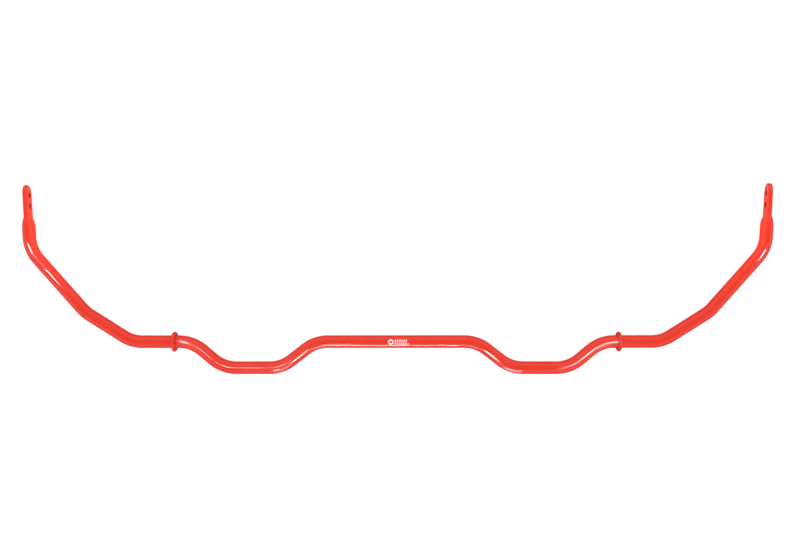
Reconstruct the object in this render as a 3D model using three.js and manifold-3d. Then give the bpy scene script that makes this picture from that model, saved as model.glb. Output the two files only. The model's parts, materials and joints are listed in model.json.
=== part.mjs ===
// A car's sway bar: one bent spring-steel bar with flattened link ends, two wire stop rings and a label.
// Units are millimetres. X runs across the car, Y along the arms towards the link ends, Z is up.
// The bar lies flat. The origin is the middle of its footprint, on the surface that it lies on.

import * as THREE from "three";
import { LoftGeometry } from "three/addons/geometries/LoftGeometry.js";
import { mergeVertices } from "three/addons/utils/BufferGeometryUtils.js";
import Module from "manifold-3d";

const wasm = await Module();
wasm.setup();

// The bar
const barRadius = 10.6; // 21 mm round spring steel under 0.1 mm of powder coat
const bendRadius = 60; // to the centre line, one forming die for every bend
const bendStep = THREE.MathUtils.degToRad(8); // the finest turn between two sections of a bend

// The right half of the centre line, from the link end to the middle: the tip, then the corners that
// the bends round off. X is from the car's middle, Y from the line that both bushes turn on.
const linkTip = [619, 262.5];
const bendCorners = [
  [613, 154], // elbow below the link end
  [520, 49.5], // kink in the arm
  [441.5, 0], // arm to bush seat
  [340.5, 0], // bush seat to outer slope
  [288.5, -43.5], // outer slope to dip
  [190.5, -43.5], // dip to inner slope
  [134.5, 0], // inner slope to the middle
];

// The flattened link ends
const paddleThickness = 8;
const paddleWidth = 32;
const paddleEdgeRadius = 2;
const paddleTilt = THREE.MathUtils.degToRad(10.5); // about the arm, the upper edges leaning inwards
const paddleLength = 55; // flat stretch, from the tip
const shoulderLength = 20; // from flat to fully round
const shoulderSteps = 7;
const tipTurn = THREE.MathUtils.degToRad(8); // the first section of the round tip, from its apex
const tipSteps = 7;
const boltHoleRadius = 5.25; // clearance for an M10 link stud
const boltHoleInset = 16.5; // tip to the first hole's centre
const boltHolePitch = 19; // between the two holes
const boltHoleSides = 28;
const cylinderAxis = new THREE.Vector3(0, 1, 0); // the way that a cylinder geometry points

// Each quarter of the bar's section
const quarterSides = 5;

// The stop rings, bent from wire, and the tack welds that hold them
const touchGap = 0.3; // clearance between pieces that touch
const ringAt = 370; // from the middle of the bar, inboard of the bush seat
const ringWireRadius = 3;
const ringRadius = barRadius + touchGap + ringWireRadius; // to the wire's centre line
const ringTurn = THREE.MathUtils.degToRad(10); // between two sections of the wire
const ringSides = 12;
const buttMiddle = THREE.MathUtils.degToRad(-90); // where the wire's ends meet, under the bar
const buttGap = 1;
const weldMiddle = THREE.MathUtils.degToRad(120); // over the top from the arms' side
const weldReach = THREE.MathUtils.degToRad(16); // to each end of the bead
const weldToe = 7.8; // the bead's reach along the bar, from the middle of the wire
const weldSteps = 8;
const weldEndShare = 0.35; // a bead end's size, as a share of its middle's

// The printed label on top of the bar
const labelLength = 36;
const labelMiddle = 4; // its middle's distance from the bar's middle
const labelHalfTurn = THREE.MathUtils.degToRad(30); // around the bar, each way from the top
const labelThickness = 0.3;
const labelSteps = 8;

// The origin: half way between the dips' near side and the link tips, at the stop rings' lowest point
const dipDepth = -Math.min(...bendCorners.map((corner) => corner[1]));
const footprintMiddle = (linkTip[1] - dipDepth - barRadius) / 2;
const axisHeight = ringRadius + ringWireRadius;

const redCoat = new THREE.MeshStandardMaterial({ color: 0xf04436, roughness: 0.28, metalness: 0 });
const whitePrint = new THREE.MeshStandardMaterial({ color: 0xf7f4f2, roughness: 0.5, metalness: 0 });

// Stations along the centre line, each with its place and the bar's heading there. A corner becomes an
// arc of bendRadius between its two tangent points.
function routeStations(points) {
  const stations = [{ at: points[0], heading: headingOf(points[0], points[1]) }];
  for (let i = 1; i < points.length - 1; i += 1) {
    const before = headingOf(points[i - 1], points[i]);
    const after = headingOf(points[i], points[i + 1]);
    const turn = Math.atan2(Math.sin(after - before), Math.cos(after - before));
    const tangent = bendRadius * Math.tan(Math.abs(turn) / 2);
    const start = points[i].clone().addScaledVector(directionOf(before), -tangent);
    const centre = start.clone().addScaledVector(leftOf(before), Math.sign(turn) * bendRadius);
    const steps = Math.ceil(Math.abs(turn) / bendStep);
    for (let step = 0; step <= steps; step += 1) {
      const heading = before + (turn * step) / steps;
      const at = centre.clone().addScaledVector(leftOf(heading), -Math.sign(turn) * bendRadius);
      stations.push({ at, heading });
    }
  }
  const end = points[points.length - 1];
  stations.push({ at: end, heading: headingOf(points[points.length - 2], end) });
  return stations;
}

function headingOf(from, to) {
  return Math.atan2(to.y - from.y, to.x - from.x);
}

function directionOf(heading) {
  return new THREE.Vector3(Math.cos(heading), Math.sin(heading), 0);
}

function leftOf(heading) {
  return new THREE.Vector3(-Math.sin(heading), Math.cos(heading), 0);
}

// The direction square to a link end's flat faces, where roll is the faces' tilt about the heading.
function faceNormal(heading, roll) {
  return leftOf(heading).applyAxisAngle(directionOf(heading), roll);
}

// The section's outline: a rectangle with rounded corners, which is a circle where the corner radius
// is half of both sides. It runs counterclockwise as seen from the end of the bar.
function barSection(station, roll, halfThickness, halfWidth, cornerRadius) {
  const outline = [];
  const across = faceNormal(station.heading, roll);
  const upright = directionOf(station.heading).cross(across);
  for (let quarter = 0; quarter < 4; quarter += 1) {
    for (let side = 0; side < quarterSides; side += 1) {
      const angle = ((quarter + (side + 0.5) / quarterSides) * Math.PI) / 2;
      const sideways = Math.sign(Math.cos(angle)) * (halfThickness - cornerRadius);
      const upwards = Math.sign(Math.sin(angle)) * (halfWidth - cornerRadius);
      const point = station.at.clone();
      point.addScaledVector(across, sideways + cornerRadius * Math.cos(angle));
      point.addScaledVector(upright, upwards + cornerRadius * Math.sin(angle));
      outline.push(point);
    }
  }
  return outline;
}

// Sections of a link end, from its tip to where the bar is round.
function linkEndSections({ tip, heading, tilt }) {
  const sections = [];
  const stationAt = (run) => ({ at: tip.clone().addScaledVector(directionOf(heading), run), heading });
  const tipRadius = paddleWidth / 2;
  for (let step = 0; step <= tipSteps; step += 1) {
    const angle = tipTurn + ((Math.PI / 2 - tipTurn) * step) / tipSteps;
    const halfWidth = tipRadius * Math.sin(angle);
    const station = stationAt(tipRadius * (1 - Math.cos(angle)));
    sections.push(barSection(station, tilt, paddleThickness / 2, halfWidth, paddleEdgeRadius));
  }
  for (let step = 0; step <= shoulderSteps; step += 1) {
    const blend = Math.sin(((step / shoulderSteps) * Math.PI) / 2);
    const station = stationAt(paddleLength + (shoulderLength * step) / shoulderSteps);
    const halfThickness = THREE.MathUtils.lerp(paddleThickness / 2, barRadius, blend);
    const halfWidth = THREE.MathUtils.lerp(paddleWidth / 2, barRadius, blend);
    const corner = THREE.MathUtils.lerp(paddleEdgeRadius, barRadius, blend);
    sections.push(barSection(station, tilt * (1 - blend), halfThickness, halfWidth, corner));
  }
  return sections;
}

function solidOf(geometry) {
  const bare = new THREE.BufferGeometry();
  bare.setAttribute("position", geometry.getAttribute("position"));
  bare.setIndex(geometry.index);
  const merged = mergeVertices(bare, 1e-4);
  const vertProperties = merged.attributes.position.array;
  const triVerts = new Uint32Array(merged.index.array);
  return new wasm.Manifold(new wasm.Mesh({ numProp: 3, vertProperties, triVerts }));
}

function geometryOf(solid) {
  const made = solid.getMesh();
  const geometry = new THREE.BufferGeometry();
  geometry.setAttribute("position", new THREE.BufferAttribute(made.vertProperties, 3));
  geometry.setIndex(new THREE.BufferAttribute(made.triVerts, 1));
  return geometry;
}

// A cylinder through a link end, square to its flat faces.
function boltHole(end, inset) {
  const length = 3 * paddleThickness;
  const hole = new THREE.CylinderGeometry(boltHoleRadius, boltHoleRadius, length, boltHoleSides);
  const place = end.tip.clone().addScaledVector(directionOf(end.heading), inset);
  const axis = faceNormal(end.heading, end.tilt);
  hole.applyQuaternion(new THREE.Quaternion().setFromUnitVectors(cylinderAxis, axis));
  hole.translate(place.x, place.y, place.z);
  return hole;
}

function makeBar() {
  const rightHalf = [linkTip, ...bendCorners].map(([x, y]) => new THREE.Vector3(x, y, 0));
  const leftHalf = rightHalf.map((point) => new THREE.Vector3(-point.x, point.y, 0)).reverse();
  const points = [...rightHalf, ...leftHalf];
  const stations = routeStations(points);
  const first = stations[0];
  const last = stations[stations.length - 1];
  // Each end is described from its own tip inwards.
  const rightEnd = { tip: first.at, heading: first.heading, tilt: paddleTilt };
  const leftEnd = { tip: last.at, heading: last.heading + Math.PI, tilt: -paddleTilt };
  const rightSections = linkEndSections(rightEnd);
  const leftSections = linkEndSections(leftEnd).map(turnedSection).reverse();
  const roundPart = stations
    .slice(1, -1)
    .map((station) => barSection(station, 0, barRadius, barRadius, barRadius));
  const sections = [...rightSections, ...roundPart, ...leftSections];
  let solid = solidOf(new LoftGeometry(sections, { capStart: true, capEnd: true }));
  for (const end of [rightEnd, leftEnd]) {
    for (const inset of [boltHoleInset, boltHoleInset + boltHolePitch]) {
      solid = solid.subtract(solidOf(boltHole(end, inset)));
    }
  }
  return geometryOf(solid);
}

// The same outline, in the order that it has as seen from the other end of the bar.
function turnedSection(section) {
  const half = section.length / 2;
  return section.map((_, i) => section[(section.length + half - 1 - i) % section.length]);
}

// Sections along an arc about the bar, in the plane across it. Each outline is a list of points given
// by how far they are along the bar and from the bar's axis, counterclockwise.
function arcSections(from, to, steps, outlineAt) {
  const sections = [];
  for (let step = 0; step <= steps; step += 1) {
    const angle = from + ((to - from) * step) / steps;
    const outwards = new THREE.Vector3(0, Math.cos(angle), Math.sin(angle));
    const section = outlineAt(step / steps).map(([along, away]) => {
      const point = outwards.clone().multiplyScalar(away);
      point.x = along;
      return point;
    });
    sections.push(section);
  }
  return sections;
}

function pointOnWire(radius, angle) {
  return [radius * Math.cos(angle), ringRadius + radius * Math.sin(angle)];
}

// The ring runs right round the bar, from one side of the butt gap to the other.
function makeRing() {
  const halfGap = buttGap / 2 / ringRadius;
  const from = buttMiddle + halfGap;
  const to = buttMiddle - halfGap + 2 * Math.PI;
  const outline = [];
  for (let side = 0; side < ringSides; side += 1) {
    outline.push(pointOnWire(ringWireRadius, (2 * Math.PI * side) / ringSides));
  }
  const sections = arcSections(from, to, Math.ceil((to - from) / ringTurn), () => outline);
  return new LoftGeometry(sections, { capStart: true, capEnd: true });
}

// The bead lies in the corner between wire and bar, and dies away towards its ends. It is drawn on the
// side that X points to, and turned over where the middle of the car is on the other side.
function makeWeld(inboard) {
  const foot = barRadius + touchGap;
  const besideWire = [-64, -40, -15, 12].map((degrees) =>
    pointOnWire(ringWireRadius + touchGap, THREE.MathUtils.degToRad(degrees)),
  );
  const crown = [
    [weldToe, foot],
    [weldToe - 1.1, foot + 1.6],
    [weldToe - 2.9, foot + 3],
  ];
  const outline = [besideWire[0], ...crown, besideWire[3], besideWire[2], besideWire[1]];
  const heart = [2.9, foot + 0.8];
  const outlineAt = (share) => {
    const size = Math.max(Math.sqrt(1 - (2 * share - 1) ** 2), weldEndShare);
    const sized = outline.map(([along, away]) => [
      inboard * THREE.MathUtils.lerp(heart[0], along, size),
      THREE.MathUtils.lerp(heart[1], away, size),
    ]);
    return inboard > 0 ? sized : sized.reverse();
  };
  const sections = arcSections(weldMiddle - weldReach, weldMiddle + weldReach, weldSteps, outlineAt);
  return new LoftGeometry(sections, { capStart: true, capEnd: true });
}

// A thin shell over the top of the bar, an annular sector drawn in the plane across the bar.
function makeLabel() {
  const innerRadius = barRadius + touchGap;
  const top = Math.PI / 2;
  const outline = new THREE.Shape();
  outline.absarc(0, 0, innerRadius + labelThickness, top - labelHalfTurn, top + labelHalfTurn, false);
  outline.absarc(0, 0, innerRadius, top + labelHalfTurn, top - labelHalfTurn, true);
  const settings = { depth: labelLength, curveSegments: labelSteps, bevelEnabled: false };
  const geometry = new THREE.ExtrudeGeometry(outline, settings);
  geometry.translate(0, 0, -labelLength / 2);
  geometry.rotateY(Math.PI / 2);
  geometry.rotateX(Math.PI / 2);
  return geometry;
}

function named(name, geometry, material) {
  const mesh = new THREE.Mesh(geometry, material);
  mesh.name = name;
  return mesh;
}

const swayBar = new THREE.Group();
swayBar.position.set(0, -footprintMiddle, axisHeight);
swayBar.add(named("bar", makeBar(), redCoat));

for (const [side, x] of [["left", -ringAt], ["right", ringAt]]) {
  const ring = named(`stop_ring_${side}`, makeRing(), redCoat);
  const weld = named(`ring_weld_${side}`, makeWeld(-Math.sign(x)), redCoat);
  ring.position.x = x;
  weld.position.x = x;
  swayBar.add(ring, weld);
}

const label = named("label_film", makeLabel(), whitePrint);
label.position.x = labelMiddle;
swayBar.add(label);

export default swayBar;
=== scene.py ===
import json
import math

import bmesh
import bpy
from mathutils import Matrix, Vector


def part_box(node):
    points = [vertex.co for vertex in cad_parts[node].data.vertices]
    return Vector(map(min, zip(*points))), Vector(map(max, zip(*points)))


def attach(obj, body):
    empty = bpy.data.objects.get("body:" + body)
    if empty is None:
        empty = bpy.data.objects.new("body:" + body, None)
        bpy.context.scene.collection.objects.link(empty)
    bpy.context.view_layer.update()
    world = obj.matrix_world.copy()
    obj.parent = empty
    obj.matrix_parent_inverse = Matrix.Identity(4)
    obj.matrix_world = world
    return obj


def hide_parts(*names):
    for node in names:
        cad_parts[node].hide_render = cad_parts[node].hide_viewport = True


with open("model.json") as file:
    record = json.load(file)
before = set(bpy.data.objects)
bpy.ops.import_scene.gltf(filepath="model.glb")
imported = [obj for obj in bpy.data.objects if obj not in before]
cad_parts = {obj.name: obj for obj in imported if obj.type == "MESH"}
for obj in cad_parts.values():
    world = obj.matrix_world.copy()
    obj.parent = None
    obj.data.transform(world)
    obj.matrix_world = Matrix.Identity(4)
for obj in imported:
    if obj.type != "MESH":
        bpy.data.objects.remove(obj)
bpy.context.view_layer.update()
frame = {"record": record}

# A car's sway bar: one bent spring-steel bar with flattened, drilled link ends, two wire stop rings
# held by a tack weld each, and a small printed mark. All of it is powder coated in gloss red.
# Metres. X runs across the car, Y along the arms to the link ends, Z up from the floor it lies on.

# Where things are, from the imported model
mountAt = {mount["name"]: Vector(mount["pos_m"]) for mount in frame["record"]["mounts"]}
mountAxis = {mount["name"]: Vector(mount["axis"]) for mount in frame["record"]["mounts"]}
ringLow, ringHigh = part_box("stop_ring_right")
labelLow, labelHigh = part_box("label_film")
outerFace = mountAt["link_face_right_outer"]
innerFace = mountAt["link_face_right_inner"]
faceAxis = mountAxis["link_face_right_outer"]
# the line that both bush seats turn on
axisY = (labelLow.y + labelHigh.y) / 2
axisZ = (outerFace.z + innerFace.z) / 2


def onAxis(x):
    return Vector((x, axisY, axisZ))


def inPlane(place):
    # a point of the centre line, given by x and by y from the bush line
    return Vector((place[0], axisY + place[1], axisZ))


# Small helpers for working in edit mode

samePlace = 0.000001  # points nearer than this are one point


def beginPiece(name):
    # names the new primitive, puts its place into its mesh and opens it with everything selected
    piece = bpy.context.object
    piece.name = name
    piece.data.name = name
    bpy.ops.object.transform_apply(location=True, rotation=True, scale=True)
    bpy.ops.object.mode_set(mode="EDIT")
    bpy.ops.mesh.select_mode(type="VERT")
    bpy.ops.mesh.select_all(action="SELECT")
    return piece


def endPiece():
    bpy.ops.object.mode_set(mode="OBJECT")


def deselectAll():
    bpy.ops.object.select_all(action="DESELECT")


def pickOnly(piece):
    deselectAll()
    piece.select_set(True)
    bpy.context.view_layer.objects.active = piece


def pickedVerts(piece):
    return [vert for vert in bmesh.from_edit_mesh(piece.data).verts if vert.select]


def pickEdges(piece, test):
    # selects the edges whose ends both pass the test
    mesh = bmesh.from_edit_mesh(piece.data)
    bpy.ops.mesh.select_mode(type="EDGE")
    bpy.ops.mesh.select_all(action="DESELECT")
    for edge in mesh.edges:
        if all(test(vert.co) for vert in edge.verts):
            edge.select_set(True)
    bmesh.update_edit_mesh(piece.data)


def faceOutwards():
    bpy.ops.mesh.select_all(action="SELECT")
    bpy.ops.mesh.remove_doubles(threshold=samePlace)
    bpy.ops.mesh.normals_make_consistent(inside=False)


def applyModifier(piece, kind, settings):
    modifier = piece.modifiers.new(kind.title(), kind)
    for name, value in settings.items():
        setattr(modifier, name, value)
    pickOnly(piece)
    bpy.ops.object.modifier_apply(modifier=modifier.name)


def smoothShade(piece, sharpest=40):
    # round surfaces shade round, and big flat faces keep their own normal up to the rounded edges
    pickOnly(piece)
    bpy.ops.object.shade_smooth_by_angle(angle=math.radians(sharpest))
    applyModifier(piece, "WEIGHTED_NORMAL", {"keep_sharp": True})


# The bar

barSizes = {
    "radius": 0.0106,  # round spring steel, 21 mm, under 0.1 mm of coat
    "sides": 64,
    "bendRadius": 0.060,  # to the centre line, one forming die for every bend
    "bendStep": math.radians(2.5),
    # the right half of the centre line from the middle outwards, with y from the bush line
    "corners": [
        (0.1345, 0.0),
        (0.1905, -0.0435),
        (0.2885, -0.0435),
        (0.3405, 0.0),
        (0.4415, 0.0),
        (0.520, 0.0495),
        (0.613, 0.154),
    ],
    "tip": (0.619, 0.2625),
}

linkEnd = {
    "halfThickness": 0.004,
    "halfWidth": 0.016,
    "edgeRadius": 0.002,
    "flatLength": 0.055,  # from the tip
    "shoulderLength": 0.020,  # from flat to round
    "shoulderRings": 20,
    "tipRings": 12,
    "firstTipTurn": math.radians(3),  # the ring next to the very tip
    "tilt": math.radians(10.5),  # the upper edges lean inwards
}

boltHoles = {
    "radius": 0.00525,  # clearance for an M10 link stud
    "insets": (0.0165, 0.0355),  # from the tip
    "sides": 72,
    "drillLength": 0.020,
    "rimRadius": 0.0005,  # left on the edge by the coat
    "rimSegments": 4,
    "rimSlack": 0.00005,  # how far off the hole's radius a point of its rim may lie
    "rimFrom": 0.003,  # least distance of the rims from the end's middle plane
    "wallSlack": 0.00002,  # how far outside the hole's radius a wall face's middle may lie
    "wallLean": 0.3,  # most that a wall face's normal may point along the hole
}


def cornerPoint(share, halfThickness, halfWidth, edgeRadius):
    # on the round edge between a flat face (share 0) and the narrow side (share 1)
    angle = share * math.pi / 2
    outwards = halfThickness - edgeRadius * (1 - math.cos(angle))
    upwards = halfWidth - edgeRadius * (1 - math.sin(angle))
    return outwards, upwards


def tipPoint(share, inset):
    # the same on the full round tip, where the round edge runs all the way round the outline
    edge = linkEnd["edgeRadius"]
    most = math.acos(1 - inset / edge) if inset < edge else math.pi / 2
    angle = most * (1 - share)
    outwards = linkEnd["halfThickness"] - edge * (1 - math.sin(angle))
    outline = linkEnd["halfWidth"] - edge * (1 - math.cos(angle))
    upwards = math.sqrt(max(outline**2 - (linkEnd["halfWidth"] - inset) ** 2, 0))
    return outwards, upwards


def shapeRing(piece, centre, heading, tilt, pointAt):
    # puts the selected ring's points on the section pointAt gives, a quarter at a time
    across = Vector((heading.y, -heading.x, 0)) * math.cos(tilt) + Vector((0, 0, math.sin(tilt)))
    upright = across.cross(heading)
    ring = pickedVerts(piece)

    def turnOf(vert):
        offset = vert.co - centre
        return math.atan2(offset.dot(upright), offset.dot(across)) % (2 * math.pi)

    ring.sort(key=turnOf)
    quarter = len(ring) // 4
    for index, vert in enumerate(ring):
        turn = (index + 0.5) / quarter * math.pi / 2
        share = (index % quarter + 0.5) / quarter
        if index // quarter % 2:
            share = 1 - share
        outwards, upwards = pointAt(share)
        vert.co = (
            centre
            + across * math.copysign(outwards, math.cos(turn))
            + upright * math.copysign(upwards, math.sin(turn))
        )
    bmesh.update_edit_mesh(piece.data)


def extrudeTo(piece, step):
    bpy.ops.mesh.extrude_region_move(TRANSFORM_OT_translate={"value": step})


def bendRoute(piece):
    # extrudes the selected ring along every straight and spins it round every bend; the last straight
    # ends where the shoulder begins
    here = inPlane((0, 0))
    corners = [inPlane(corner) for corner in barSizes["corners"]]
    tip = inPlane(barSizes["tip"])
    toTip = (tip - corners[-1]).normalized()
    before = Vector((1, 0, 0))
    for corner, after in zip(corners, corners[1:] + [tip]):
        heading = (after - corner).normalized()
        turn = math.atan2(before.cross(heading).z, before.dot(heading))
        tangent = barSizes["bendRadius"] * math.tan(abs(turn) / 2)
        start = corner - before * tangent
        extrudeTo(piece, start - here)
        sideways = Vector((-before.y, before.x, 0)) * math.copysign(barSizes["bendRadius"], turn)
        # spin turns the other way round with no window open
        bpy.ops.mesh.spin(
            steps=math.ceil(abs(turn) / barSizes["bendStep"]),
            angle=-turn,
            center=start + sideways,
            axis=(0, 0, 1),
        )
        here = corner + heading * tangent
        before = heading
    shoulder = tip - toTip * (linkEnd["flatLength"] + linkEnd["shoulderLength"])
    extrudeTo(piece, shoulder - here)
    return shoulder, toTip


def flattenLinkEnd(piece, shoulder, toTip):
    # from round to flat over the shoulder, along the flat, and then round the tip
    here = shoulder
    radius = barSizes["radius"]
    for index in range(1, linkEnd["shoulderRings"] + 1):
        share = index / linkEnd["shoulderRings"]
        there = shoulder + toTip * linkEnd["shoulderLength"] * share
        extrudeTo(piece, there - here)
        # the forging die stops at the flat's end, so the swell begins there at once
        blend = 1 - math.sin((1 - share) * math.pi / 2) if share < 1 else 1
        section = [
            radius + (linkEnd[name] - radius) * blend
            for name in ("halfThickness", "halfWidth", "edgeRadius")
        ]
        tilt = linkEnd["tilt"] * blend
        shapeRing(piece, there, toTip, tilt, lambda along: cornerPoint(along, *section))
        here = there
    tip = inPlane(barSizes["tip"])
    for index in range(linkEnd["tipRings"] + 1):
        turn = math.pi / 2 + (linkEnd["firstTipTurn"] - math.pi / 2) * index / linkEnd["tipRings"]
        inset = linkEnd["halfWidth"] * (1 - math.cos(turn))
        there = tip - toTip * inset
        extrudeTo(piece, there - here)
        shapeRing(piece, there, toTip, linkEnd["tilt"], lambda along: tipPoint(along, inset))
        here = there
    bpy.ops.mesh.edge_face_add()


def holeMiddles(toTip):
    tip = inPlane(barSizes["tip"])
    return [tip - toTip * inset for inset in boltHoles["insets"]]


def awayFromHole(place, hole):
    # how far a point is along the hole's axis, and how far from the axis
    offset = place - hole
    along = offset.dot(faceAxis)
    return along, (offset - faceAxis * along).length


def drillLinkEnd(piece, toTip):
    holes = holeMiddles(toTip)
    for hole in holes:
        deselectAll()
        bpy.ops.mesh.primitive_cylinder_add(
            vertices=boltHoles["sides"],
            radius=boltHoles["radius"],
            depth=boltHoles["drillLength"],
            location=hole,
            rotation=faceAxis.to_track_quat("Z", "Y").to_euler(),
        )
        drill = bpy.context.object
        applyModifier(piece, "BOOLEAN", {"operation": "DIFFERENCE", "object": drill})
        bpy.data.objects.remove(drill)

    def onRim(place):
        for hole in holes:
            along, across = awayFromHole(place, hole)
            atEdge = abs(across - boltHoles["radius"]) < boltHoles["rimSlack"]
            if atEdge and abs(along) > boltHoles["rimFrom"]:
                return True
        return False

    pickOnly(piece)
    bpy.ops.object.mode_set(mode="EDIT")
    pickEdges(piece, onRim)
    bpy.ops.mesh.bevel(
        offset=boltHoles["rimRadius"], segments=boltHoles["rimSegments"], affect="EDGES"
    )
    endPiece()


def makeBar():
    deselectAll()
    bpy.ops.mesh.primitive_circle_add(
        vertices=barSizes["sides"],
        radius=barSizes["radius"],
        location=onAxis(0),
        rotation=(0, math.pi / 2, 0),
    )
    piece = beginPiece("bar_coated")
    # half a side round, so that no point lies on a link end's middle planes
    bpy.ops.transform.rotate(
        value=math.pi / barSizes["sides"], orient_axis="X", center_override=onAxis(0)
    )
    shoulder, toTip = bendRoute(piece)
    flattenLinkEnd(piece, shoulder, toTip)
    faceOutwards()
    endPiece()
    drillLinkEnd(piece, toTip)
    mirror = {"use_axis": (True, False, False), "merge_threshold": 0.00001}
    applyModifier(piece, "MIRROR", mirror)
    pickOnly(piece)
    bpy.ops.object.mode_set(mode="EDIT")
    faceOutwards()
    endPiece()
    smoothShade(piece)
    return piece


bar = makeBar()
print("bar:", len(bar.data.polygons), "faces")


# The stop rings: round wire bent into a ring, with the coat drawn into the corner against the bar

wireRadius = 0.003

ringSizes = {
    "x": (ringLow.x + ringHigh.x) / 2,
    "reach": axisZ - wireRadius,  # from the bar's axis to the wire's middle; the ring is on the floor
    "wireSides": 48,
    "steps": 110,
    "coatFillet": 0.0003,
    "filletShare": 0.6,  # of the points pulled down, from the outside in; the rest lie flat
    "sunk": 0.00015,  # foot of the coat, just inside the bar's surface
    "buttAt": math.radians(-90),  # where the wire's ends meet, under the bar
    "buttGap": 0.001,
}


def fromAxis(x, angle, reach):
    return onAxis(x) + Vector((0, math.cos(angle), math.sin(angle))) * reach


def drawFoot(piece, centre, outwards):
    # the wire's inner side is pulled down to the bar in a concave fillet on each side
    fillet, filletShare = ringSizes["coatFillet"], ringSizes["filletShare"]
    clear = ringSizes["reach"] - barSizes["radius"]  # wire middle to bar surface
    footHalf = math.sqrt((wireRadius + fillet) ** 2 - (clear - fillet) ** 2)
    leaves = math.atan2(footHalf, clear - fillet)  # from straight down, where the fillet leaves the wire
    for vert in pickedVerts(piece):
        offset = vert.co - centre
        turn = math.atan2(offset.x, -offset.dot(outwards))
        if abs(turn) > leaves:
            continue
        share = 1 - abs(turn) / leaves  # 0 where it leaves the wire, 1 in the middle of the foot
        side = math.copysign(1, turn)
        if share < filletShare:
            around = leaves * (1 - share / filletShare)
            x = footHalf - fillet * math.sin(around)
            down = clear - fillet + fillet * math.cos(around)
        else:
            x = footHalf * (1 - (share - filletShare) / (1 - filletShare))
            down = clear + ringSizes["sunk"]
        vert.co = centre + Vector((side * x, 0, 0)) - outwards * down
    bmesh.update_edit_mesh(piece.data)


def makeRing():
    halfGap = ringSizes["buttGap"] / 2 / ringSizes["reach"]
    start = ringSizes["buttAt"] + halfGap
    turn = 2 * (math.pi - halfGap)
    centre = fromAxis(ringSizes["x"], start, ringSizes["reach"])
    deselectAll()
    bpy.ops.mesh.primitive_circle_add(
        vertices=ringSizes["wireSides"],
        radius=wireRadius,
        location=centre,
        rotation=(start, 0, 0),
    )
    piece = beginPiece("stop_ring_right_coated")
    drawFoot(piece, centre, Vector((0, math.cos(start), math.sin(start))))
    bpy.ops.mesh.spin(
        steps=ringSizes["steps"], angle=-turn, center=onAxis(ringSizes["x"]), axis=(1, 0, 0)
    )
    bpy.ops.mesh.select_all(action="DESELECT")
    bpy.ops.mesh.select_non_manifold()
    bpy.ops.mesh.fill_holes(sides=0)
    faceOutwards()
    endPiece()
    smoothShade(piece)
    return piece


# The tack welds that hold the rings, one bead each in the corner towards the middle of the bar

weldSizes = {
    "at": math.radians(120),  # over the top from the arms' side
    "aside": 0.0035,  # from the wire's middle
    "reach": barSizes["radius"] + 0.0003,  # from the bar's axis
    "halfLength": 0.0040,  # along the bar
    "halfTurn": 0.0036,  # around it
    "halfHeight": 0.0026,
    "segments": 64,
    "rings": 48,
    "ripplePitch": 0.0011,
    "rippleDepth": 0.00014,
    "rippleBow": 0.25,  # how much the ripples curve
}


def makeWeld():
    centre = fromAxis(ringSizes["x"] - weldSizes["aside"], weldSizes["at"], weldSizes["reach"])
    deselectAll()
    bpy.ops.mesh.primitive_uv_sphere_add(
        segments=weldSizes["segments"],
        ring_count=weldSizes["rings"],
        radius=1,
        location=centre,
        rotation=(weldSizes["at"] - math.pi / 2, 0, 0),
        scale=(weldSizes["halfLength"], weldSizes["halfTurn"], weldSizes["halfHeight"]),
    )
    piece = beginPiece("ring_weld_right_coated")
    # the ripples that the pool left as it froze, one after another round the bar
    outwards = Vector((0, math.cos(weldSizes["at"]), math.sin(weldSizes["at"])))
    around = Vector((1, 0, 0)).cross(outwards)
    for vert in pickedVerts(piece):
        offset = vert.co - centre
        bow = offset.dot(around) + weldSizes["rippleBow"] * offset.x**2 / weldSizes["halfLength"]
        lift = weldSizes["rippleDepth"] * math.cos(2 * math.pi * bow / weldSizes["ripplePitch"])
        vert.co += outwards * lift * max(offset.dot(outwards), 0) / weldSizes["halfHeight"]
    bmesh.update_edit_mesh(piece.data)
    faceOutwards()
    endPiece()
    smoothShade(piece, sharpest=60)
    return piece


def mirroredCopy(piece, name):
    # the same piece for the left side, with its own mesh
    pickOnly(piece)
    bpy.ops.object.duplicate()
    copy = bpy.context.object
    copy.name = name
    copy.data.name = name
    bpy.ops.object.mode_set(mode="EDIT")
    bpy.ops.mesh.select_all(action="SELECT")
    bpy.ops.transform.resize(value=(-1, 1, 1), center_override=(0, 0, 0))
    faceOutwards()
    endPiece()
    smoothShade(copy, sharpest=60)
    return copy


ringRight = makeRing()
ringLeft = mirroredCopy(ringRight, "stop_ring_left_coated")
weldRight = makeWeld()
weldLeft = mirroredCopy(weldRight, "ring_weld_left_coated")
print("rings:", len(ringRight.data.polygons), "faces, welds:", len(weldRight.data.polygons))


# The printed mark: a plain hexagon nut and slanted bars over a line, screen printed in white

markSizes = {
    "middle": (labelLow.x + labelHigh.x) / 2,
    "length": 0.035,
    "drawnAt": 2 * axisZ,  # height at which it is drawn flat, over the bar
    "nutRadius": 0.0050,
    "nutHole": 0.0024,
    "nutCuts": 7,  # points put into each of the nut's sides
    "bars": 6,
    "barWidth": 0.0015,
    "barHeight": 0.0052,
    "barPitch": 0.0036,
    "barSlant": 0.0016,
    "barCuts": 11,  # enough to follow the round bar
    "barsUp": 0.0015,  # from the bar's top line to the middle of the slanted bars
    "nutToBars": 0.0026,  # from the nut to the middle of the first one
    "lineHeight": 0.0013,
    "lineCuts": 7,
    "lineDown": 0.0032,  # from the bar's top line to the middle of the printed one
    "nutToLine": 0.0012,
    "inkThickness": 0.00005,
    "lift": 0.00002,  # clear of the bar's facets
}


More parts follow.
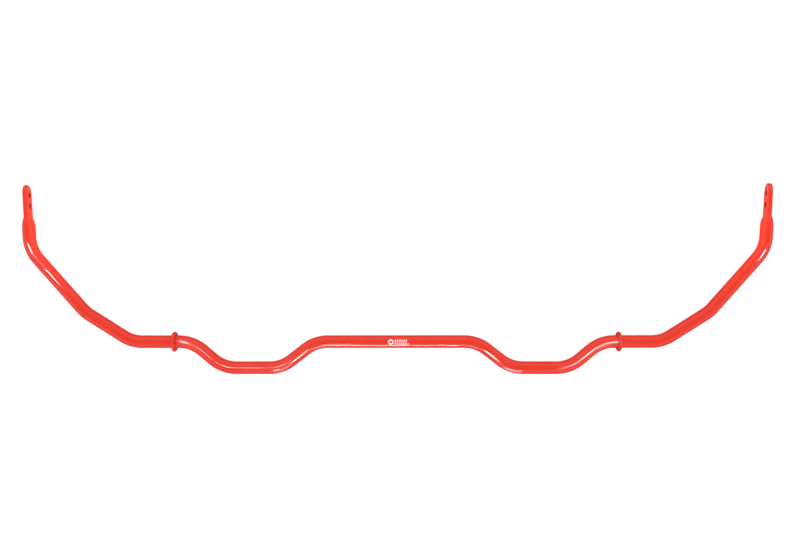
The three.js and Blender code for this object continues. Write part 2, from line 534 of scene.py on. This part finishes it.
def flatBar(name, x, y, width, height, slant, cuts):
    deselectAll()
    bpy.ops.mesh.primitive_plane_add(size=1, location=(x, y, markSizes["drawnAt"]))
    bpy.context.object.scale = (width, height, 1)
    piece = beginPiece(name)
    bpy.ops.mesh.subdivide(number_cuts=cuts)
    for vert in pickedVerts(piece):
        vert.co.x += slant * (vert.co.y - y) / height
    bmesh.update_edit_mesh(piece.data)
    endPiece()
    return piece


def flatNut(name, x, y):
    corners = 6
    place = (x, y, markSizes["drawnAt"])
    deselectAll()
    bpy.ops.mesh.primitive_circle_add(
        vertices=corners, radius=markSizes["nutRadius"], location=place
    )
    piece = beginPiece(name)
    bpy.ops.mesh.subdivide(number_cuts=markSizes["nutCuts"])
    # as many points round the hole as round the outline
    bpy.ops.mesh.primitive_circle_add(
        vertices=corners * (markSizes["nutCuts"] + 1), radius=markSizes["nutHole"], location=place
    )
    bpy.ops.mesh.select_all(action="SELECT")
    bpy.ops.mesh.select_mode(type="EDGE")
    bpy.ops.mesh.bridge_edge_loops(number_cuts=6)
    endPiece()
    return piece


def makeMark():
    left = markSizes["middle"] - markSizes["length"] / 2
    nutWidth = 2 * markSizes["nutRadius"]
    parts = [flatNut("print_mark", left + nutWidth / 2, axisY)]
    width, height = markSizes["barWidth"], markSizes["barHeight"]
    slant, cuts = markSizes["barSlant"], markSizes["barCuts"]
    y = axisY + markSizes["barsUp"]
    for index in range(markSizes["bars"]):
        x = left + nutWidth + markSizes["nutToBars"] + markSizes["barPitch"] * index
        parts.append(flatBar("bar", x, y, width, height, slant, cuts))
    width, height = markSizes["length"] - nutWidth - markSizes["nutToLine"], markSizes["lineHeight"]
    x = left + markSizes["length"] - width / 2
    y = axisY - markSizes["lineDown"]
    parts.append(flatBar("line", x, y, width, height, 0, markSizes["lineCuts"]))
    deselectAll()
    for part in parts:
        part.select_set(True)
    bpy.context.view_layer.objects.active = parts[0]
    bpy.ops.object.join()
    piece = parts[0]
    bpy.ops.object.mode_set(mode="EDIT")
    bpy.ops.mesh.select_all(action="SELECT")
    bpy.ops.mesh.normals_make_consistent(inside=False)
    endPiece()
    wrap = {
        "target": bar,
        "wrap_method": "PROJECT",
        "use_project_z": True,
        "use_negative_direction": True,
        "use_positive_direction": False,
        "offset": markSizes["lift"],
    }
    applyModifier(piece, "SHRINKWRAP", wrap)
    bpy.ops.object.mode_set(mode="EDIT")
    bpy.ops.mesh.select_all(action="SELECT")
    mesh = bmesh.from_edit_mesh(piece.data)
    if sum(face.normal.z for face in mesh.faces) < 0:
        bpy.ops.mesh.flip_normals()
    endPiece()
    applyModifier(piece, "SOLIDIFY", {"thickness": markSizes["inkThickness"], "offset": 1})
    smoothShade(piece)
    return piece


mark = makeMark()
print("mark:", len(mark.data.polygons), "faces")


# Materials

def linear(hexColour):
    channels = [int(hexColour[start:start + 2], 16) / 255 for start in (0, 2, 4)]
    return [c / 12.92 if c <= 0.04045 else ((c + 0.055) / 1.055) ** 2.4 for c in channels] + [1]


def newMaterial(name):
    material = bpy.data.materials.new(name)
    material.use_nodes = True
    material.node_tree.nodes.clear()
    return material


def addNode(material, kind, settings, links=None):
    tree = material.node_tree
    node = tree.nodes.new(kind)
    for name, value in settings.items():
        if name in node.inputs:
            node.inputs[name].default_value = value
        else:
            setattr(node, name, value)
    for name, source in (links or {}).items():
        tree.links.new(source, node.inputs[name])
    return node


powderCoat = {
    "deep": "e22e18",
    "bright": "ec341e",
    "blotch": 0.030,  # metres across a patch where the coat lies thicker
    "peel": 0.0021,  # metres across a dimple of the orange peel
    "peelDepth": 0.000004,
    "roughness": (0.05, 0.08),
    "ior": 1.4,
}


def powderCoatMaterial(name, peelDepth):
    # polyester powder, sprayed and stoved: deep even red, glossy, with a fine orange peel that
    # breaks up the edges of every reflection
    material = newMaterial(name)
    place = addNode(material, "ShaderNodeTexCoord", {})
    blotch = addNode(
        material,
        "ShaderNodeTexNoise",
        {"Scale": 1 / powderCoat["blotch"], "Detail": 3, "Roughness": 0.55},
        {"Vector": place.outputs["Object"]},
    )
    colour = addNode(
        material,
        "ShaderNodeMix",
        {"data_type": "RGBA"},
        {"Factor": blotch.outputs["Fac"]},
    )
    colour.inputs[6].default_value = linear(powderCoat["deep"])
    colour.inputs[7].default_value = linear(powderCoat["bright"])
    peel = addNode(
        material,
        "ShaderNodeTexNoise",
        {"Scale": 1 / powderCoat["peel"], "Detail": 1.5, "Roughness": 0.4},
        {"Vector": place.outputs["Object"]},
    )
    low, high = powderCoat["roughness"]
    roughness = addNode(
        material,
        "ShaderNodeMapRange",
        {"From Min": 0.3, "From Max": 0.7, "To Min": low, "To Max": high},
        {"Value": blotch.outputs["Fac"]},
    )
    bump = addNode(
        material,
        "ShaderNodeBump",
        {"Strength": 1, "Distance": peelDepth},
        {"Height": peel.outputs["Fac"]},
    )
    shader = addNode(
        material,
        "ShaderNodeBsdfPrincipled",
        {"IOR": powderCoat["ior"]},
        {
            "Base Color": colour.outputs[2],
            "Roughness": roughness.outputs["Result"],
            "Normal": bump.outputs["Normal"],
        },
    )
    addNode(material, "ShaderNodeOutputMaterial", {}, {"Surface": shader.outputs["BSDF"]})
    return material


holeShade = {
    # the darkest and the lighter red of the painted shade in the holes
    "steel": "3c0f0c",
    "overspray": "8e1812",
    "patch": 0.0018,
    "roughness": 0.45,
    "ior": 1.45,
}


def holeShadeMaterial(name):
    # painted shade: the bolt holes' walls get a dark, mottled red-brown for the dark inside them
    material = newMaterial(name)
    place = addNode(material, "ShaderNodeTexCoord", {})
    patch = addNode(
        material,
        "ShaderNodeTexNoise",
        {"Scale": 1 / holeShade["patch"], "Detail": 4, "Roughness": 0.6},
        {"Vector": place.outputs["Object"]},
    )
    cover = addNode(
        material,
        "ShaderNodeMapRange",
        {"From Min": 0.35, "From Max": 0.65},
        {"Value": patch.outputs["Fac"]},
    )
    colour = addNode(
        material,
        "ShaderNodeMix",
        {"data_type": "RGBA"},
        {"Factor": cover.outputs["Result"]},
    )
    colour.inputs[6].default_value = linear(holeShade["steel"])
    colour.inputs[7].default_value = linear(holeShade["overspray"])
    shader = addNode(
        material,
        "ShaderNodeBsdfPrincipled",
        {"Roughness": holeShade["roughness"], "IOR": holeShade["ior"]},
        {"Base Color": colour.outputs[2]},
    )
    addNode(material, "ShaderNodeOutputMaterial", {}, {"Surface": shader.outputs["BSDF"]})
    return material


def shadeHoleWalls(piece, material):
    # puts the painted shade on the walls of the bolt holes, inside the coated rims
    piece.data.materials.append(material)
    wallSlot = len(piece.data.materials) - 1
    toTip = (inPlane(barSizes["tip"]) - inPlane(barSizes["corners"][-1])).normalized()
    for hole in holeMiddles(toTip):
        for face in piece.data.polygons:
            # the left end's faces are told as if they were on the right one
            flip = Vector((math.copysign(1, face.center.x), 1, 1))
            across = awayFromHole(face.center * flip, hole)[1]
            lean = abs((face.normal * flip).dot(faceAxis))
            if across < boltHoles["radius"] + boltHoles["wallSlack"] and lean < boltHoles["wallLean"]:
                face.material_index = wallSlot


printInk = {
    "white": "fbf6f3",
    "thin": "f2c9c0",
    "patch": 0.0016,
    "roughness": 0.5,
    "ior": 1.48,
}


def printInkMaterial(name):
    # white ink put on through a screen: matter than the coat, and a little thin in places
    material = newMaterial(name)
    place = addNode(material, "ShaderNodeTexCoord", {})
    patch = addNode(
        material,
        "ShaderNodeTexNoise",
        {"Scale": 1 / printInk["patch"], "Detail": 4, "Roughness": 0.7},
        {"Vector": place.outputs["Object"]},
    )
    thin = addNode(
        material,
        "ShaderNodeMapRange",
        {"From Min": 0.52, "From Max": 0.75, "To Min": 0.0, "To Max": 0.6},
        {"Value": patch.outputs["Fac"]},
    )
    colour = addNode(
        material,
        "ShaderNodeMix",
        {"data_type": "RGBA"},
        {"Factor": thin.outputs["Result"]},
    )
    colour.inputs[6].default_value = linear(printInk["white"])
    colour.inputs[7].default_value = linear(printInk["thin"])
    shader = addNode(
        material,
        "ShaderNodeBsdfPrincipled",
        {"Roughness": printInk["roughness"], "IOR": printInk["ior"]},
        {"Base Color": colour.outputs[2]},
    )
    addNode(material, "ShaderNodeOutputMaterial", {}, {"Surface": shader.outputs["BSDF"]})
    return material


floorBoard = {
    "colour": "e8e8e8",
    "glow": 0.5,
    "grain": 0.004,
    "roughness": (0.75, 0.85),
    "bounce": "a4a4a4",  # its colour as the bar sees it
}


def floorMaterial(name):
    # white acrylic sheet lit from behind, as on a product table: it swallows most of the shadow, and
    # throws less light back at the bar than it shows
    material = newMaterial(name)
    place = addNode(material, "ShaderNodeTexCoord", {})
    grain = addNode(
        material,
        "ShaderNodeTexNoise",
        {"Scale": 1 / floorBoard["grain"], "Detail": 2},
        {"Vector": place.outputs["Object"]},
    )
    low, high = floorBoard["roughness"]
    roughness = addNode(
        material,
        "ShaderNodeMapRange",
        {"To Min": low, "To Max": high},
        {"Value": grain.outputs["Fac"]},
    )
    shader = addNode(
        material,
        "ShaderNodeBsdfPrincipled",
        {
            "Base Color": linear(floorBoard["colour"]),
            "Emission Color": (1, 1, 1, 1),
            "Emission Strength": floorBoard["glow"],
        },
        {"Roughness": roughness.outputs["Result"]},
    )
    bounce = addNode(material, "ShaderNodeBsdfDiffuse", {"Color": linear(floorBoard["bounce"])})
    seen = addNode(material, "ShaderNodeLightPath", {})
    shown = addNode(
        material,
        "ShaderNodeMixShader",
        {},
        {"Fac": seen.outputs["Is Camera Ray"]},
    )
    material.node_tree.links.new(bounce.outputs["BSDF"], shown.inputs[1])
    material.node_tree.links.new(shader.outputs["BSDF"], shown.inputs[2])
    addNode(material, "ShaderNodeOutputMaterial", {}, {"Surface": shown.outputs["Shader"]})
    return material


def finishPiece(piece, material, node):
    piece.data.materials.clear()
    piece.data.materials.append(material)
    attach(piece, "root")
    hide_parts(node)


redCoat = powderCoatMaterial("glossRedPowderCoat", powderCoat["peelDepth"])
weldCoat = powderCoatMaterial("powderCoatOverWeld", 2 * powderCoat["peelDepth"])
finishPiece(bar, redCoat, "bar")
# painted shade on the walls of the bolt holes
shadeHoleWalls(bar, holeShadeMaterial("paintedShadeInHole"))
finishPiece(ringLeft, redCoat, "stop_ring_left")
finishPiece(ringRight, redCoat, "stop_ring_right")
finishPiece(weldLeft, weldCoat, "ring_weld_left")
finishPiece(weldRight, weldCoat, "ring_weld_right")
finishPiece(mark, printInkMaterial("whiteScreenInk"), "label_film")
print("materials on")


# Floor, light and camera

deselectAll()
bpy.ops.mesh.primitive_plane_add(size=12, location=(0, 0, 0))
floor = bpy.context.object
floor.name = "floor"
floor.data.materials.append(floorMaterial("backlitAcrylic"))

# a white tent that is darker overhead, so that the bar's top keeps its colour
softTent = {"sides": 1.42, "top": 0.5, "sidesUpTo": 0.55}

world = bpy.data.worlds.new("softTent")
bpy.context.scene.world = world
world.use_nodes = True
tent = world.node_tree
skyPlace = tent.nodes.new("ShaderNodeTexCoord")
skyHeight = tent.nodes.new("ShaderNodeSeparateXYZ")
skyStrength = tent.nodes.new("ShaderNodeMapRange")
skyStrength.inputs["From Min"].default_value = softTent["sidesUpTo"]
skyStrength.inputs["From Max"].default_value = 1
skyStrength.inputs["To Min"].default_value = softTent["sides"]
skyStrength.inputs["To Max"].default_value = softTent["top"]
tent.links.new(skyPlace.outputs["Generated"], skyHeight.inputs[0])
tent.links.new(skyHeight.outputs["Z"], skyStrength.inputs["Value"])
tent.links.new(skyStrength.outputs["Result"], tent.nodes["Background"].inputs["Strength"])
tent.nodes["Background"].inputs["Color"].default_value = (1, 1, 1, 1)

# one long strip low in front draws the thin line along the middle of the bar
frontStrip = {"towards": (0, -0.95, 0.32), "distance": 1.5, "length": 0.56, "height": 0.03, "power": 15}

# small lamps with a narrow beam, each for one glint: the place that it is aimed at, measured from the
# bush line, the way towards the lamp from there, its width, and its power
spots = {
    "leftSlopeSpot": ((-0.155, -0.022), (0.25, -0.57, 0.78), 0.10, 0.030),
    "rightSlopeSpot": ((0.159, -0.022), (-0.28, -0.55, 0.79), 0.10, 0.030),
    "leftDipSpot": ((-0.198, -0.045), (-0.02, -0.71, 0.70), 0.10, 0.012),
    "rightDipSpot": ((0.205, -0.045), (0.05, -0.75, 0.66), 0.10, 0.012),
    "leftHollowSpot": ((-0.290, -0.040), (-0.16, 0.06, 0.98), 0.10, 0.010),
    "rightHollowSpot": ((0.297, -0.037), (0.19, -0.10, 0.98), 0.10, 0.010),
    "leftBushSpot": ((-0.352, 0.0), (-0.23, 0.09, 0.97), 0.08, 0.040),
    "rightBushSpot": ((0.335, 0.0), (0.24, -0.14, 0.96), 0.08, 0.025),
    "leftRingSpot": ((-0.370, 0.0), (-0.60, -0.05, 0.80), 0.10, 0.10),
    "rightRingSpot": ((0.370, 0.0), (0.60, -0.10, 0.80), 0.10, 0.10),
    "leftElbowSpot": ((-0.607, 0.152), (-0.20, 0.125, 0.97), 0.10, 0.030),
    "rightElbowSpot": ((0.607, 0.152), (0.465, -0.04, 0.885), 0.10, 0.022),
}
spotBeam = {"distance": 1.5, "spread": math.radians(11)}

# low lamps that fill the inner face of each link end from the other side
fills = {"leftEndFill": (-1, 0.10), "rightEndFill": (1, 0.09)}
fillBeam = {
    "over": (0.617, 0.235),  # the middle of the right link end's flat, from the bush line
    "distance": 0.85,
    "rise": 0.02,  # above the plane of the bar
    "width": 0.12,
    "height": 0.02,
    "spread": math.radians(24),
}


def addAreaLight(name, at, aim, width, height, power):
    light = bpy.data.lights.new(name, "AREA")
    light.shape = "RECTANGLE"
    light.size = width
    light.size_y = height
    light.energy = power
    lamp = bpy.data.objects.new(name, light)
    bpy.context.scene.collection.objects.link(lamp)
    lamp.location = at
    lamp.rotation_euler = (Vector(aim) - Vector(at)).to_track_quat("-Z", "Y").to_euler()
    return lamp


def lampPlace(aim, towards, distance):
    return aim + Vector(towards).normalized() * distance


strip = addAreaLight(
    "frontStrip",
    lampPlace(onAxis(0), frontStrip["towards"], frontStrip["distance"]),
    onAxis(0),
    frontStrip["length"],
    frontStrip["height"],
    frontStrip["power"],
)
# strip and spots only draw highlights, and the soft light is the tent's
strip.visible_diffuse = False
for name, (over, towards, width, power) in spots.items():
    aim = inPlane(over)
    at = lampPlace(aim, towards, spotBeam["distance"])
    lamp = addAreaLight(name, at, aim, width, width, power)
    lamp.data.spread = spotBeam["spread"]
    lamp.visible_diffuse = False

for name, (side, power) in fills.items():
    aim = inPlane((side * fillBeam["over"][0], fillBeam["over"][1]))
    at = aim + Vector((-side * fillBeam["distance"], 0, fillBeam["rise"]))
    lamp = addAreaLight(name, at, aim, fillBeam["width"], fillBeam["height"], power)
    lamp.data.spread = fillBeam["spread"]
    lamp.visible_glossy = False
    lamp.visible_camera = False

view = {
    "lens": 38.25,  # on a 36 mm wide sensor
    "distance": 1.4167,  # from the plane that the bar is bent in
    "aim": (0.0068, 0.00675),  # the point of that plane in the middle of the view
    "lean": math.radians(0.7),  # from straight above towards the right
    "roll": math.radians(-0.08),
}

aim = Vector((view["aim"][0], view["aim"][1], axisZ))
above = Vector((math.sin(view["lean"]), 0, math.cos(view["lean"])))
bpy.ops.object.camera_add(
    location=aim + above * view["distance"], rotation=(0, view["lean"], view["roll"])
)
camera = bpy.context.object
camera.data.lens = view["lens"]
camera.data.sensor_width = 36
camera.data.clip_start = 0.01
bpy.context.scene.camera = camera
bpy.context.scene.view_settings.view_transform = "Standard"
print("floor, light and camera set")
